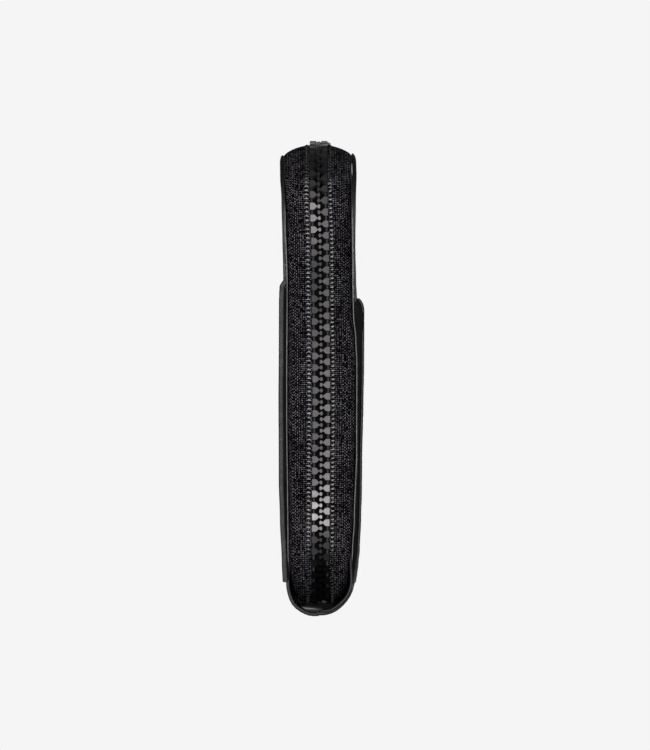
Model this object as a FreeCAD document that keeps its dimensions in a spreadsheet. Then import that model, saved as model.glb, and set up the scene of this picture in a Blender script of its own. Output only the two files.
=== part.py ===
import FreeCAD, Part
import math
import os
import Sketcher

# A leather zip-around pouch, stood on its spine. X is its thickness: the back shell is at +X and the
# front cover at -X. Y runs across it, with the slider on the +Y side. Z is up from the ground.
# The chain of the zip lies on the plane X = 0 and runs up one side, over the top and down the other.

V = FreeCAD.Vector

SIZES = [
    # alias, millimetres or degrees, what it is
    ("middle_y", -2.4, "middle of the pouch, which leaves the slider's bridge room on the far side"),
    ("chain_half_width", 55.0, "middle of the pouch to the chain line on each side"),
    ("chain_top", 157.4, "ground to the chain line along the top"),
    ("corner_radius", 25.0, "chain line round each top corner"),
    ("bend_radius", 14.5, "chain line where each end of the zip turns in above the spine"),
    ("bend_angle", 60.0, "how far each end turns"),
    ("bend_start", 19.0, "ground to where the ends begin to turn"),
    ("edge_inset", 3.2, "chain line in to the edge of the leather"),
    ("leather", 1.0, "thickness of the shell leather"),
    ("shell_half_depth", 12.5, "chain plane to the outer face of each panel, and radius of the spine"),
    ("hinge_angle", 45.0, "where the spine folds, below its middle height"),
    ("fold_gap", 0.7, "degrees left open at each fold of the spine"),
    ("lining_short", 2.0, "degrees by which the spine's lining stops short of each fold"),
    ("let_in", 0.1, "how far a board or the spine's lining is pressed into the layer behind it"),
    ("welt", 0.9, "thickness of the welt"),
    ("welt_width", 8.3, "width of the welt"),
    ("tape", 0.6, "thickness of the zip tape"),
    ("tape_shoulder", 5.6, "radius that each tape is domed to"),
    ("tape_leg", 5.4, "width of tape sewn in behind the welt"),
    ("tape_edge", 2.4, "chain plane to the corded edge of each tape"),
    ("cord_radius", 0.6, "cord in the edge of each tape"),
    ("lining", 0.5, "thickness of the lining"),
    ("lining_inset", 7.0, "chain line in to the edge of the lining"),
    ("board_inset", 13.2, "chain line in to the edge of each stiffening board"),
    ("board", 1.3, "thickness of each stiffening board"),
    ("pocket", 1.1, "thickness of the slip pockets' leather"),
    ("pocket_gap", 0.6, "room inside each slip pocket"),
    ("pocket_seam", 4.0, "width of the seam round each slip pocket"),
    ("back_pocket_top", 106.0, "ground to the mouth of the back slip pocket"),
    ("front_pocket_top", 111.0, "ground to the mouth of the front slip pocket"),
    ("tooth_pitch", 3.83, "from tooth to tooth in one row"),
    ("tooth_outer", 2.95, "chain plane to the outer end of a tooth"),
    ("tooth_shoulder", 1.35, "chain plane to where a tooth begins to narrow"),
    ("tooth_neck", 0.95, "chain plane to the neck of a tooth"),
    ("tooth_reach", 0.62, "how far a head reaches past the chain plane"),
    ("tooth_width", 2.34, "width of a tooth along the zip"),
    ("neck_width", 0.9, "width of its neck"),
    ("head_width", 1.44, "width of its head"),
    ("tooth_proud", 1.4, "height of a tooth above the tape"),
    ("tooth_under", 1.7, "depth of a tooth below the tape's face"),
    ("first_tooth", 2.515, "near end of the zip to the first tooth of the front row"),
    ("last_gap", 0.8, "slider's post to the last tooth"),
    ("slider_low", 24.0, "ground to the slider's mouth when the zip is closed"),
    ("slider_length", 13.0, "length of the slider"),
    ("slider_width", 9.6, "width across the slider's mouth"),
    ("slider_tail", 8.6, "width across its other end"),
    ("slider_top", 3.2, "chain line out to the slider's outer face"),
    ("slider_under", 3.6, "chain line in to the slider's inner face"),
    ("channel_width", 7.3, "width of the way for the teeth"),
    ("channel_top", 2.0, "chain line out to the top of that way"),
    ("channel_under", 2.4, "chain line in to the bottom of that way"),
    ("slot_top", 0.5, "chain line out to the top of the slots for the tapes"),
    ("slot_under", 1.2, "chain line in to the bottom of those slots"),
    ("post_width", 2.4, "width of the post that parts the teeth"),
    ("post_length", 3.6, "slider's mouth to the end of the post"),
    ("post_start", 0.4, "slider's mouth to the start of the post"),
    ("overlap", 0.2, "how far shapes that are joined into one run into each other"),
    ("bridge_top", 6.2, "chain line out to the top of the bridge"),
    ("bridge_wall", 1.1, "thickness of the bridge"),
    ("bridge_width", 2.0, "width of the bridge"),
    ("bridge_length", 8.4, "length of the bridge"),
    ("bridge_low", 27.0, "ground to the bridge"),
    ("puller_pivot_height", 32.2, "ground to the puller's pivot"),
    ("puller_pivot_out", 4.15, "chain line out to the puller's pivot"),
    ("puller_bar_radius", 0.6, "bar of the puller under the bridge"),
    ("puller_width", 5.6, "width of the puller"),
    ("puller_arm", 1.3, "width of each arm beside the puller's eye"),
    ("puller_eye", 7.2, "length of the eye below the pivot"),
    ("puller_length", 24.0, "pivot to the end of the puller"),
    ("puller_plate", 1.1, "thickness of the puller"),
    ("stop_length", 2.6, "length of a top stop"),
    ("stop_gap", 0.5, "gap from the slider's mouth to the top stops"),
    ("stop_width", 1.2, "width of a top stop"),
    ("stop_proud", 1.3, "chain line out to the face of a top stop"),
    ("stop_under", 1.6, "chain line in to the back of a top stop"),
    ("start_back", 1.2, "end of the zip back to the middle of the bottom stop"),
    ("start_length", 2.0, "length of the bottom stop along the zip"),
    ("start_height", 1.4, "height of the bottom stop"),
    ("start_under", 0.3, "chain line in to the back of the bottom stop, and its margin beside the cords"),
    ("tab_width", 11.0, "width of the leather tab at each end of the zip"),
    ("tab_length", 8.0, "length of that tab"),
    ("tab_thickness", 1.0, "thickness of that tab"),
    ("tab_low", 3.3, "ground to the underside of that tab"),
    ("tab_back", 1.0, "edge of the leather in to that tab"),
]

doc = FreeCAD.newDocument("zip_pouch")
sheet = doc.addObject("Spreadsheet::Sheet", "sizes")
for line, (alias, number, about) in enumerate(SIZES, start=1):
    sheet.set(f"A{line}", alias)
    sheet.set(f"B{line}", str(number))
    sheet.setAlias(f"B{line}", alias)
    sheet.set(f"C{line}", about)
doc.recompute()


class Size:
    """A length that knows both its value and the formula that gives it from the sheet."""

    def __init__(self, value, formula):
        self.value = value
        self.formula = formula

    def __add__(self, other):
        other = as_size(other)
        return Size(self.value + other.value, f"({self.formula} + {other.formula})")

    def __sub__(self, other):
        other = as_size(other)
        return Size(self.value - other.value, f"({self.formula} - {other.formula})")

    def __mul__(self, number):
        return Size(self.value * number, f"({self.formula} * {number})")

    def __neg__(self):
        return self * -1


def as_size(thing):
    return thing if isinstance(thing, Size) else Size(float(thing), str(thing))


def cell(alias):
    return Size(float(sheet.get(alias)), f"sizes.{alias}")


def bind(thing, **lengths):
    """Binds properties to formulas. A double underscore stands for a dot."""
    for name, length in lengths.items():
        thing.setExpression(name.replace("__", "."), as_size(length).formula)


def new_body(label):
    body = doc.addObject("PartDesign::Body", label)
    body.AllowCompound = True
    bind(body, Placement__Base__y=cell("middle_y"))
    return body


def new_sketch(body, name, plane, height=0):
    """A sketch on one of the body's own origin planes, or parallel to it at a height."""
    sketch = body.newObject("Sketcher::SketchObject", name)
    support = [f for f in body.Origin.OriginFeatures if f.Role == plane][0]
    sketch.AttachmentSupport = (support, [""])
    sketch.MapMode = "FlatFace"
    bind(sketch, AttachmentOffset__Base__z=height)
    return sketch


def place(sketch, geometry, point, across, up):
    """Holds one point of a piece of geometry at a distance across and up from the sketch's origin."""
    for kind, distance in (("DistanceX", across), ("DistanceY", up)):
        distance = as_size(distance)
        index = sketch.addConstraint(
            Sketcher.Constraint(kind, -1, 1, geometry, point, distance.value)
        )
        sketch.setExpression(f"Constraints[{index}]", distance.formula)


def outline(sketch, corners, closed=True):
    """Straight lines through corners, each an (across, up) pair of sizes."""
    flat = [(as_size(a), as_size(b)) for a, b in corners]
    pairs = list(zip(flat, flat[1:] + flat[:1] if closed else flat[1:]))
    first = None
    for (a, b), (c, d) in pairs:
        line = Part.LineSegment(V(a.value, b.value, 0), V(c.value, d.value, 0))
        index = sketch.addGeometry(line, False)
        place(sketch, index, 1, a, b)
        if first is None:
            first = index
        else:
            sketch.addConstraint(Sketcher.Constraint("Coincident", index - 1, 2, index, 1))
    if closed:
        sketch.addConstraint(Sketcher.Constraint("Coincident", index, 2, first, 1))
    else:
        place(sketch, index, 2, *flat[-1])


def round_top(sketch, half_width, bottom, top, radius, closed=True):
    """An outline with a round corner at each end of its top, open along the bottom if asked."""
    w, low, high, r = half_width.value, bottom.value, top.value, radius.value
    rise = high - r
    quarter = math.pi / 2
    up = sketch.addGeometry(Part.LineSegment(V(-w, low, 0), V(-w, rise, 0)), False)
    circle = Part.Circle(V(r - w, rise, 0), V(0, 0, 1), r)
    near = sketch.addGeometry(Part.ArcOfCircle(circle, quarter, 2 * quarter), False)
    over = sketch.addGeometry(Part.LineSegment(V(r - w, high, 0), V(w - r, high, 0)), False)
    circle = Part.Circle(V(w - r, rise, 0), V(0, 0, 1), r)
    far = sketch.addGeometry(Part.ArcOfCircle(circle, 0, quarter), False)
    down = sketch.addGeometry(Part.LineSegment(V(w, rise, 0), V(w, low, 0)), False)
    for one, end, other, start in ((up, 2, near, 2), (near, 1, over, 1), (over, 2, far, 2), (far, 1, down, 1)):
        sketch.addConstraint(Sketcher.Constraint("Tangent", one, end, other, start))
    for line in (up, down):
        sketch.addConstraint(Sketcher.Constraint("Vertical", line))
    sketch.addConstraint(Sketcher.Constraint("Horizontal", over))
    place(sketch, up, 1, -half_width, bottom)
    place(sketch, down, 2, half_width, bottom)
    index = sketch.addConstraint(Sketcher.Constraint("DistanceY", -1, 1, over, 1, high))
    sketch.setExpression(f"Constraints[{index}]", top.formula)
    for corner in (near, far):
        index = sketch.addConstraint(Sketcher.Constraint("Radius", corner, r))
        sketch.setExpression(f"Constraints[{index}]", radius.formula)
    if closed:
        base = sketch.addGeometry(Part.LineSegment(V(w, low, 0), V(-w, low, 0)), False)
        sketch.addConstraint(Sketcher.Constraint("Coincident", down, 2, base, 1))
        sketch.addConstraint(Sketcher.Constraint("Coincident", base, 2, up, 1))


def pad(body, sketch, length, both_ways=False):
    feature = body.newObject("PartDesign::Pad", f"{sketch.Name}_pad")
    feature.Profile = sketch
    feature.Midplane = both_ways
    bind(feature, Length=length)
    return feature


def pocket(body, sketch, depth):
    """Cuts from the sketch towards +X, +Y or +Z, and proves that it took something away."""
    doc.recompute()
    before = body.Shape.Volume
    feature = body.newObject("PartDesign::Pocket", f"{sketch.Name}_cut")
    feature.Profile = sketch
    feature.Reversed = True
    bind(feature, Length=depth)
    doc.recompute()
    if body.Shape.Volume > before - 1.0:
        raise RuntimeError(f"{feature.Label} cuts nothing")
    return feature


def inset_shape(inset):
    """Half width, top and corner radius of an outline at an inset from the chain line."""
    inset = as_size(inset)
    return cell("chain_half_width") - inset, cell("chain_top") - inset, cell("corner_radius") - inset


def plate(label, inner_face, thickness, inset, bottom):
    """A flat sheet with round top corners, its inner face at a distance from the chain plane."""
    body = new_body(label)
    half_width, top, radius = inset_shape(inset)
    sketch = new_sketch(body, f"{label}_outline", "YZ_Plane", inner_face)
    round_top(sketch, half_width, bottom, top, radius)
    pad(body, sketch, thickness)
    return body


def slip_pocket(label, mouth):
    """A leather sheet sewn to the panel round three sides, open at the top."""
    body = new_body(label)
    face = cell("shell_half_depth")
    half_width = cell("chain_half_width") - cell("edge_inset")
    low = cell("shell_half_depth")
    whole = new_sketch(body, f"{label}_outline", "YZ_Plane", face)
    outline(whole, [(-half_width, low), (half_width, low), (half_width, mouth), (-half_width, mouth)])
    pad(body, whole, cell("pocket") + cell("pocket_gap"))
    seam = cell("pocket_seam")
    room = new_sketch(body, f"{label}_room", "YZ_Plane", face)
    inside = half_width - seam
    outline(room, [(-inside, low + seam), (inside, low + seam), (inside, mouth + 1), (-inside, mouth + 1)])
    pocket(body, room, cell("pocket_gap"))
    return body


def welt(label):
    """The band between the panel and the tape, along both sides and the top."""
    body = new_body(label)
    face = cell("shell_half_depth") - cell("leather") - cell("welt")
    half_width, top, radius = inset_shape(cell("edge_inset"))
    whole = new_sketch(body, f"{label}_outline", "YZ_Plane", face)
    round_top(whole, half_width, cell("shell_half_depth"), top, radius)
    pad(body, whole, cell("welt"))
    half_width, top, radius = inset_shape(cell("edge_inset") + cell("welt_width"))
    middle = new_sketch(body, f"{label}_middle", "YZ_Plane", face)
    round_top(middle, half_width, cell("shell_half_depth") - 1, top, radius)
    pocket(body, middle, cell("welt"))
    return body


def swept_along_zip(label, draw_section):
    """A section carried along the chain line and round the bend at each end of it."""
    body = new_body(label)
    half_width, top, radius = inset_shape(0)
    path = new_sketch(body, f"{label}_path", "YZ_Plane")
    round_top(path, half_width, cell("bend_start"), top, radius, closed=False)
    section = new_sketch(body, f"{label}_section", "XY_Plane", cell("bend_start"))
    draw_section(section)
    bend_line = cell("bend_radius") - cell("chain_half_width")
    axis = sketch_axis(section, bend_line)
    sweep = body.newObject("PartDesign::AdditivePipe", f"{label}_sweep")
    sweep.Profile = section
    sweep.Spine = (path, [f"Edge{n}" for n in range(1, 6)])
    sweep.Mode = "Binormal"
    sweep.Binormal = V(1, 0, 0)
    bend = body.newObject("PartDesign::Revolution", f"{label}_bend")
    bend.Profile = section
    bend.ReferenceAxis = (section, [axis])
    bind(bend, Angle=cell("bend_angle"))
    doc.recompute()
    if bend.Shape.BoundBox.ZMin > cell("bend_start").value - 1:
        bend.Reversed = True
    other = body.newObject("PartDesign::Mirrored", f"{label}_other_bend")
    other.Originals = [bend]
    other.MirrorPlane = ([f for f in body.Origin.OriginFeatures if f.Role == "XZ_Plane"][0], [""])
    body.Tip = other
    return body


def sketch_axis(sketch, up):
    """A construction line along the sketch's own X, and the name that a revolution knows it by."""
    line = sketch.addGeometry(Part.LineSegment(V(0, up.value, 0), V(10, up.value, 0)), True)
    place(sketch, line, 1, 0, up)
    place(sketch, line, 2, 10, up)
    return "Axis0"


def tape_section(sketch):
    """Flat beside the chain, domed over a shoulder, then straight in behind the welt."""
    thick = cell("tape")
    shoulder = cell("tape_shoulder")
    chain = -cell("chain_half_width")
    wall = cell("shell_half_depth") - cell("leather") - cell("welt")
    centre = wall - shoulder
    bend = chain + shoulder
    foot = bend + cell("tape_leg")
    edge = cell("tape_edge")
    quarter = math.pi / 2
    cx, cy, r, t = centre.value, bend.value, shoulder.value, thick.value

    def line(a, b, c, d):
        start, end = V(a.value, b.value, 0), V(c.value, d.value, 0)
        return sketch.addGeometry(Part.LineSegment(start, end), False)

    def arc(radius):
        circle = Part.Circle(V(cx, cy, 0), V(0, 0, 1), radius)
        return sketch.addGeometry(Part.ArcOfCircle(circle, -quarter, 0), False)

    face = line(edge, chain, centre, chain)
    outer = arc(r)
    out_leg = line(wall, bend, wall, foot)
    toe = line(wall, foot, wall - thick, foot)
    in_leg = line(wall - thick, foot, wall - thick, bend)
    inner = arc(r - t)
    under = line(centre, chain + thick, edge, chain + thick)
    tip = line(edge, chain + thick, edge, chain)
    for one, end, other, start in (
        (face, 2, outer, 1), (outer, 2, out_leg, 1), (in_leg, 2, inner, 2), (inner, 1, under, 1),
    ):
        sketch.addConstraint(Sketcher.Constraint("Tangent", one, end, other, start))
    for one, other in ((out_leg, toe), (toe, in_leg), (under, tip), (tip, face)):
        sketch.addConstraint(Sketcher.Constraint("Coincident", one, 2, other, 1))
    sketch.addConstraint(Sketcher.Constraint("Coincident", inner, 3, outer, 3))
    for level in (face, toe, under):
        sketch.addConstraint(Sketcher.Constraint("Horizontal", level))
    for upright in (out_leg, in_leg, tip):
        sketch.addConstraint(Sketcher.Constraint("Vertical", upright))
    place(sketch, face, 1, edge, chain)
    place(sketch, outer, 3, centre, bend)
    place(sketch, toe, 2, wall - thick, foot)


def cord_section(sketch):
    radius = cell("cord_radius")
    across = cell("tape_edge")
    up = cell("tape") * 0.5 - cell("chain_half_width")
    circle = Part.Circle(V(across.value, up.value, 0), V(0, 0, 1), radius.value)
    index = sketch.addGeometry(circle, False)
    place(sketch, index, 3, across, up)
    index = sketch.addConstraint(Sketcher.Constraint("Radius", index, radius.value))
    sketch.setExpression(f"Constraints[{index}]", radius.formula)


def mirrored(label, source):
    """The front cover's twin of a piece of the back shell."""
    twin = doc.addObject("Part::Mirroring", label)
    twin.Source = source
    twin.Normal = V(1, 0, 0)
    twin.Base = V(0, 0, 0)
    return twin


def box(label, low, high):
    """A block between two corners given from the middle of the pouch."""
    block = doc.addObject("Part::Box", label)
    low = [as_size(n) for n in low]
    high = [as_size(n) for n in high]
    bind(block, Length=high[0] - low[0], Width=high[1] - low[1], Height=high[2] - low[2])
    bind(block, Placement__Base__x=low[0], Placement__Base__z=low[2])
    bind(block, Placement__Base__y=low[1] + cell("middle_y"))
    return block


def combine(kind, label, base, tool):
    result = doc.addObject(f"Part::{kind}", label)
    result.Base = base
    result.Tool = tool
    return result


def spine_part(label, radius, thickness, start_angle, sweep_angle):
    """A strip of the round spine, between two angles measured down from the back panel's edge."""
    pieces = []
    half_width = cell("chain_half_width") - cell("edge_inset")
    for name, size in (("round", radius), ("hollow", radius - thickness)):
        sector = doc.addObject("Part::Cylinder", f"{label}_{name}")
        bind(sector, Radius=size, Height=half_width * 2, Angle=sweep_angle)
        bind(sector, Placement__Base__y=cell("middle_y") - half_width)
        bind(sector, Placement__Base__z=cell("shell_half_depth"))
        start = as_size(start_angle)
        sector.Placement.Rotation = FreeCAD.Rotation(V(1, 0, 0), V(0, 0, -1), V(0, 1, 0), "ZXY")
        turned = FreeCAD.Rotation(V(0, 1, 0), start.value)
        sector.Placement.Rotation = turned.multiply(sector.Placement.Rotation)
        pieces.append(sector)
    return combine("Cut", label, pieces[0], pieces[1])


def tooth_master():
    """One tooth: a square body that narrows to a neck, and a head, on the +X side of the chain."""
    body = doc.addObject("PartDesign::Body", "tooth")
    sketch = new_sketch(body, "tooth_outline", "XY_Plane")
    outer, shoulder, neck = cell("tooth_outer"), cell("tooth_shoulder"), cell("tooth_neck")
    reach = cell("tooth_reach")
    wide, thin, head = cell("tooth_width") * 0.5, cell("neck_width") * 0.5, cell("head_width") * 0.5
    half = [(outer, wide), (shoulder, wide), (neck, thin), (reach * 0.5, thin), (reach * 0.1, head)]
    half += [(-(reach * 0.6), head), (-reach, head * 0.55)]
    outline(sketch, half + [(x, -y) for x, y in reversed(half)])
    shape = pad(body, sketch, cell("tooth_proud") + cell("tooth_under"))
    bind(sketch, AttachmentOffset__Base__z=-cell("tooth_under"))
    return body, shape


def chain_places():
    """Point, direction along the zip, and direction out of the pouch, for any length along it."""
    half_width = cell("chain_half_width").value
    top = cell("chain_top").value
    corner = cell("corner_radius").value
    bend = cell("bend_radius").value
    start = cell("bend_start").value
    turn = math.radians(cell("bend_angle").value)
    side = top - corner - start
    spans = [bend * turn, side, corner * math.pi / 2, 2 * (half_width - corner)]
    spans += [corner * math.pi / 2, side, bend * turn]

    def at(length):
        span = 0
        while span < len(spans) - 1 and length > spans[span]:
            length -= spans[span]
            span += 1
        if span in (1, 3, 5):
            out = {1: math.pi, 3: math.pi / 2, 5: 0.0}[span]
            y = {1: -half_width, 3: corner - half_width + length, 5: half_width}[span]
            z = {1: start + length, 3: top, 5: top - corner - length}[span]
        else:
            radius = {0: bend, 2: corner, 4: corner, 6: bend}[span]
            out = {0: math.pi + turn, 2: math.pi, 4: math.pi / 2, 6: 0.0}[span] - length / radius
            y = {0: bend - half_width, 2: corner - half_width, 4: half_width - corner, 6: half_width - bend}[span]
            z = {0: start, 2: top - corner, 4: top - corner, 6: start}[span]
            y += radius * math.cos(out)
            z += radius * math.sin(out)
        outward = V(0, math.cos(out), math.sin(out))
        along = V(0, math.sin(out), -math.cos(out))
        return V(0, y, z), along, outward

    return at, sum(spans)


def teeth_row(label, tooth, side):
    """All the teeth of one tape, from the near end up to the slider's post."""
    at, total = chain_places()
    pitch = cell("tooth_pitch").value
    post_top = cell("slider_low").value + cell("post_length").value + cell("last_gap").value
    beyond = cell("bend_radius").value * math.radians(cell("bend_angle").value)
    last = total - beyond - (post_top - cell("bend_start").value) - cell("tooth_width").value / 2
    length = cell("first_tooth").value + (pitch / 2 if side > 0 else 0)
    teeth = []
    while length < last:
        point, along, outward = at(length)
        across = V(side, 0, 0)
        turn = FreeCAD.Rotation(across, outward.cross(across), outward, "ZXY")
        copy = tooth.copy()
        copy.Placement = FreeCAD.Placement(point + V(0, cell("middle_y").value, 0), turn)
        teeth.append(copy)
        length += pitch
    row = doc.addObject("Part::Feature", label)
    row.Shape = Part.makeCompound(teeth)
    return row


def slider_body():
    """Two plates with lips along their sides, joined by a post between the rows of teeth."""
    side = cell("chain_half_width")
    low = cell("slider_low")
    shell = doc.addObject("Part::Wedge", "slider_blank")
    wide, tail = cell("slider_width") * 0.5, cell("slider_tail") * 0.5
    bind(shell, Xmin=-wide, Xmax=wide, X2min=-tail, X2max=tail)
    bind(shell, Ymin=0, Ymax=cell("slider_length"))
    deep = cell("slider_top") + cell("slider_under")
    bind(shell, Zmin=0, Z2min=0, Zmax=deep, Z2max=deep)
    shell.Placement.Rotation = FreeCAD.Rotation(V(1, 0, 0), V(0, 0, 1), V(0, -1, 0), "ZXY")
    bind(shell, Placement__Base__y=side + cell("slider_top") + cell("middle_y"))
    bind(shell, Placement__Base__z=low)
    half = cell("channel_width") * 0.5
    end = low + cell("slider_length")
    channel = box(
        "slider_channel",
        (-half, side - cell("channel_under"), low - 1),
        (half, side + cell("channel_top"), end + 1),
    )
    slots = box(
        "slider_slots",
        (-wide - 1, side - cell("slot_under"), low - 1),
        (wide + 1, side + cell("slot_top"), end + 1),
    )
    post = box(
        "slider_post",
        (-(cell("post_width") * 0.5), side - cell("channel_under") - cell("overlap"), low + cell("post_start")),
        (cell("post_width") * 0.5, side + cell("channel_top") + cell("overlap"), low + cell("post_length")),
    )
    hollow = combine("Fuse", "slider_ways", channel, slots)
    plates = combine("Cut", "slider_plates", shell, hollow)
    return combine("Fuse", "slider_body", plates, post)


def slider_bridge():
    """The arch on the slider's back that the puller hangs from."""
    body = new_body("slider_bridge")
    low, high = cell("bridge_low"), cell("bridge_low") + cell("bridge_length")
    base = cell("chain_half_width") + cell("slider_top")
    top = cell("chain_half_width") + cell("bridge_top")
    wall = cell("bridge_wall")
    sketch = new_sketch(body, "bridge_outline", "YZ_Plane")
    outline(
        sketch,
        [
            (base, low), (top - wall, low), (top, low + wall), (top, high - wall), (top - wall, high),
            (base, high), (base, high - wall), (top - wall, high - wall), (top - wall, low + wall),
            (base, low + wall),
        ],
    )
    pad(body, sketch, cell("bridge_width"), both_ways=True)
    return body


def puller():
    """A flat tab with an eye. The bar across the top of the eye turns under the bridge."""
    body = new_body("puller_plate")
    out = cell("chain_half_width") + cell("puller_pivot_out")
    pivot = cell("puller_pivot_height")
    half, arm = cell("puller_width") * 0.5, cell("puller_arm")
    eye_low = pivot - cell("puller_eye")
    low = pivot - cell("puller_length")
    level = -(out - cell("puller_plate") * 0.5)
    sketch = new_sketch(body, "puller_outline", "XZ_Plane", level)
    bevel = cell("puller_arm")
    outline(
        sketch,
        [
            (half - arm, pivot), (half, pivot), (half, low + bevel), (half - bevel, low),
            (bevel - half, low), (-half, low + bevel), (-half, pivot), (arm - half, pivot),
            (arm - half, eye_low), (half - arm, eye_low),
        ],
    )
    feature = pad(body, sketch, cell("puller_plate"))
    feature.Reversed = True
    bar = doc.addObject("Part::Cylinder", "puller_bar")
    bind(bar, Radius=cell("puller_bar_radius"), Height=cell("puller_width"))
    bar.Placement.Rotation = FreeCAD.Rotation(V(0, 1, 0), 90)
    bind(bar, Placement__Base__x=-half, Placement__Base__z=pivot)
    bind(bar, Placement__Base__y=out + cell("middle_y"))
    return combine("Fuse", "puller", body, bar)


def top_stop(label):
    """The block on the edge of a tape that the slider's mouth meets when the zip is closed."""
    side = cell("chain_half_width")
    high = cell("slider_low") - cell("stop_gap")
    edge = cell("tape_edge")
    return box(
        label,
        (edge, side - cell("stop_under"), high - cell("stop_length")),
        (edge + cell("stop_width"), side + cell("stop_proud"), high),
    )


def bottom_stop():
    """The block across both rows where the chain begins."""
    at, total = chain_places()
    body = doc.addObject("Part::Box", "zip_bottom_stop")
    half = cell("tape_edge") - cell("start_under")
    bind(body, Length=half * 2, Width=cell("start_length"), Height=cell("start_height"))
    point, along, outward = at(-cell("start_back").value)
    across = V(1, 0, 0)
    up = across.cross(along)
    rotation = FreeCAD.Rotation(across, along, up, "ZXY")
    corner = point - across * half.value - along * (cell("start_length").value / 2) - up * cell("start_under").value
    body.Placement = FreeCAD.Placement(corner + V(0, cell("middle_y").value, 0), rotation)
    return body


def end_tab(label, side):
    """A folded scrap of leather, sewn to the spine under the end of the zip."""
    half = cell("tab_width") * 0.5
    floor = cell("tab_low")
    far = cell("chain_half_width") - cell("edge_inset") - cell("tab_back")
    near = far - cell("tab_length")
    low, high = (near, far) if side > 0 else (-far, -near)
    return box(label, (-half, low, floor), (half, high, floor + cell("tab_thickness")))


depth = cell("shell_half_depth")
tape_wall = depth - cell("leather") - cell("welt")
fold = cell("hinge_angle")

nodes = []
back_panel = plate("back_panel", depth - cell("leather"), cell("leather"), cell("edge_inset"), depth)
back_welt = welt("back_welt")
board_face = tape_wall - cell("tape") + cell("let_in")
back_board = plate("back_board", board_face, cell("board"), cell("board_inset"), depth + 2)
lining_face = tape_wall - cell("tape") - cell("lining")
back_lining = plate("back_lining", lining_face, cell("lining"), cell("lining_inset"), depth + 2)
back_tape = swept_along_zip("back_tape", tape_section)
back_cord = swept_along_zip("back_tape_cord", cord_section)
back_stop = top_stop("back_top_stop")
for piece in (back_panel, back_welt, back_board, back_lining, back_tape, back_cord, back_stop):
    nodes += [piece, mirrored(piece.Label.replace("back", "front"), piece)]

nodes.append(slip_pocket("back_slip_pocket", cell("back_pocket_top")))
front_pattern = slip_pocket("front_pocket_pattern", cell("front_pocket_top"))
nodes.append(mirrored("front_slip_pocket", front_pattern))

gap = cell("fold_gap")
half_gap = gap.value / 2
nodes.append(spine_part("back_spine_wall", depth, cell("leather"), 0, fold - gap * 0.5))
nodes.append(
    spine_part("front_spine_wall", depth, cell("leather"), 180 - fold.value + half_gap, fold - gap * 0.5)
)
nodes.append(spine_part("spine_base", depth, cell("leather"), fold.value + half_gap, fold * 2 - gap))
lined = depth - cell("leather") - cell("let_in")
short = cell("lining_short")
nodes.append(spine_part("spine_lining", lined, cell("lining"), fold.value + short.value, fold * 2 - short * 2))

tooth, tooth_pad = tooth_master()
doc.recompute()
nodes.append(teeth_row("back_teeth", tooth_pad.Shape, 1))
nodes.append(teeth_row("front_teeth", tooth_pad.Shape, -1))
nodes.append(bottom_stop())
nodes.append(end_tab("near_end_tab", -1))
nodes.append(end_tab("far_end_tab", 1))
nodes.append(slider_body())
nodes.append(slider_bridge())
nodes.append(puller())

doc.recompute()
for thing in doc.Objects:
    if "Invalid" in thing.State or "Error" in thing.State:
        raise RuntimeError(f"{thing.Label} did not compute: {thing.State}")

os.makedirs("parts", exist_ok=True)
for node in nodes:
    shape = node.Shape
    if shape.isNull() or not shape.isValid():
        raise RuntimeError(f"{node.Label} has no valid shape")
    shape.exportStep(f"parts/{node.Label}.step")
    box_of = shape.BoundBox
    print(
        f"{node.Label:20s} X {box_of.XMin:7.2f} {box_of.XMax:7.2f}  Y {box_of.YMin:7.2f} {box_of.YMax:7.2f}"
        f"  Z {box_of.ZMin:7.2f} {box_of.ZMax:7.2f}  {shape.Volume:9.1f} mm3, {len(shape.Solids)} solids"
    )
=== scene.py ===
import math
import random

import bmesh
import bpy
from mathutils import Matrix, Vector, noise


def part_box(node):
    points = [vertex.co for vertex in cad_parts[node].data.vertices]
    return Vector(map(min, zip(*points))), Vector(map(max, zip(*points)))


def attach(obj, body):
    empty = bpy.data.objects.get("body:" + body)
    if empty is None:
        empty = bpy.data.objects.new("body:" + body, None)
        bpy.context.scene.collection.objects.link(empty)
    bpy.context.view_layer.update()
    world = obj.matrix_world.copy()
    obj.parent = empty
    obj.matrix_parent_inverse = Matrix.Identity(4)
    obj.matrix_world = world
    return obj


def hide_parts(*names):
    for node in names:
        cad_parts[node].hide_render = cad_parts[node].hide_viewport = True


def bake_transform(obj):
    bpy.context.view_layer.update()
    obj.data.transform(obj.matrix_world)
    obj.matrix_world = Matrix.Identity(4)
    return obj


# A black leather zip-around pouch, stood on its spine. X is its thickness, Y runs across it and Z is up.
# Lengths below are in millimetres; MM turns them into metres.

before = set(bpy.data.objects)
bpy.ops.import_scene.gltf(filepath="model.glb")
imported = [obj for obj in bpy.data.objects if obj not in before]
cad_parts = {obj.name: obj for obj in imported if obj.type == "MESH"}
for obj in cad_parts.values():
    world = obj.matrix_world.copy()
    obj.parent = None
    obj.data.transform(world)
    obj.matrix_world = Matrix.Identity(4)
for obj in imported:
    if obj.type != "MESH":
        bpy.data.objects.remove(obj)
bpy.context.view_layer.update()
MM = 0.001
random.seed(7)

# ---- sizes from the frame


def box_mm(node):
    low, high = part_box(node)
    return Vector(low) / MM, Vector(high) / MM


TAPE_LOW, TAPE_HIGH = box_mm("back_tape")
PANEL_LOW, PANEL_HIGH = box_mm("back_panel")
TEETH_HIGH = box_mm("back_teeth")[1]
MIDDLE = (TAPE_LOW.y + TAPE_HIGH.y) / 2
HALF = (TAPE_HIGH.y - TAPE_LOW.y) / 2
TOP = TAPE_HIGH.z
# the chain line: the radius of its two top corners, and of its turn in under the covers at each end
CORNER = 25.0
BEND = 14.5
BEND_START = 19.0
BEND_TURN = math.radians(78)
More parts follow.
